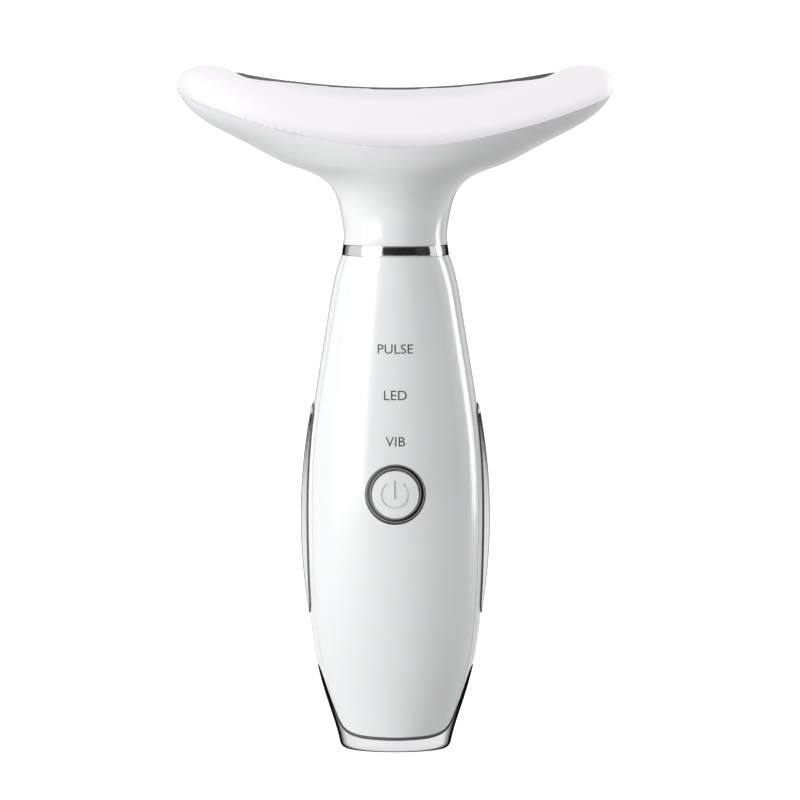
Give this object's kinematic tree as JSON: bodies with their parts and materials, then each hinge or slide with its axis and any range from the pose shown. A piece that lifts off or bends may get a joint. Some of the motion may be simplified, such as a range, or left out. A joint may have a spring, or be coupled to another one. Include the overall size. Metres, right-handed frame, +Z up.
{
  "type": "skin scrubber",
  "caption": "T-shaped hand-held skin massager with a crescent heated steel head, milky light diffuser, tapered handle with push button and chrome base cap.",
  "frame": {"origin": "centre of the flat bottom of the chrome base cap, where the device stands", "axes": "+Z up along the handle, front with the button faces -Y, +X to the right"},
  "size_m": [0.1046, 0.038, 0.1645],
  "materials": {
    "white_shell": "gloss",
    "milky_diffuser": "translucent gloss",
    "polished_plate": "polished",
    "chrome_trim": "mirror",
    "button_white": "gloss",
    "steel": "satin",
    "tungsten": "satin",
    "circuit_board": "satin",
    "white_board": "satin",
    "black_plastic": "satin",
    "cream_plastic": "satin",
    "inner_plastic": "matte",
    "clear_plastic": "clear",
    "grey_rubber": "matte",
    "amber_film": "gloss",
    "cell_wrap": "gloss",
    "foam": "matte",
    "nickel": "satin",
    "red_insulation": "satin",
    "black_insulation": "satin",
    "white_insulation": "satin"
  },
  "bodies": {
    "body": {"massage_plate": "polished_plate", "plate_gasket": "grey_rubber", "heater_film": "amber_film", "plate_carrier": "inner_plastic", "temperature_sensor": "black_plastic", "light_diffuser": "milky_diffuser", "led_board": "white_board", "photon_leds": "cream_plastic", "led_board_screws": "steel", "head_connector": "cream_plastic", "head_base": "white_shell", "motor_can": "steel", "motor_sleeve": "grey_rubber", "neck_ring": "chrome_trim", "front_shell": "white_shell", "back_shell": "white_shell", "left_side_strip": "chrome_trim", "right_side_strip": "chrome_trim", "strip_clips": "steel", "base_cap": "chrome_trim", "cap_seal": "grey_rubber", "strip_seals": "grey_rubber", "base_screws": "steel", "usb_shell": "steel", "usb_tongue": "black_plastic", "charging_board": "circuit_board", "charging_chip": "black_plastic", "charging_lead": "white_insulation", "chassis": "inner_plastic", "chassis_screws": "steel", "main_board": "circuit_board", "board_screws": "steel", "controller_chip": "black_plastic", "boost_coil": "black_plastic", "capacitors": "cream_plastic", "indicator_leds": "cream_plastic", "light_guides": "clear_plastic", "board_connectors": "cream_plastic", "switch_body": "black_plastic", "button_ring": "chrome_trim", "battery_cell": "cell_wrap", "battery_tabs": "nickel", "battery_foam": "foam", "battery_lead_red": "red_insulation", "battery_lead_black": "black_insulation", "head_cable": "white_insulation", "motor_cable": "white_insulation"},
    "button": {"power_button": "button_white"},
    "plunger": {"switch_plunger": "black_plastic"},
    "rotor": {"motor_shaft": "steel", "eccentric_weight": "tungsten"}
  },
  "joints": [
    {"name": "button_press", "type": "slide", "parent": "body", "child": "button", "axis": [0, 1, 0], "range_m": [0, 0.0004], "stiffness_N_per_m": 1500, "springref_m": -0.0002},
    {"name": "plunger_press", "type": "slide", "parent": "body", "child": "plunger", "axis": [0, 1, 0], "range_m": [0, 0.0004]},
    {"name": "motor_spin", "type": "hinge", "parent": "body", "child": "rotor", "pos_m": [0, -0.0024, 0.14], "axis": [0, 0, 1], "continuous": true}
  ],
  "couplings": [
    {"joint": "plunger_press", "follows": "button_press", "ratio": 1}
  ]
}
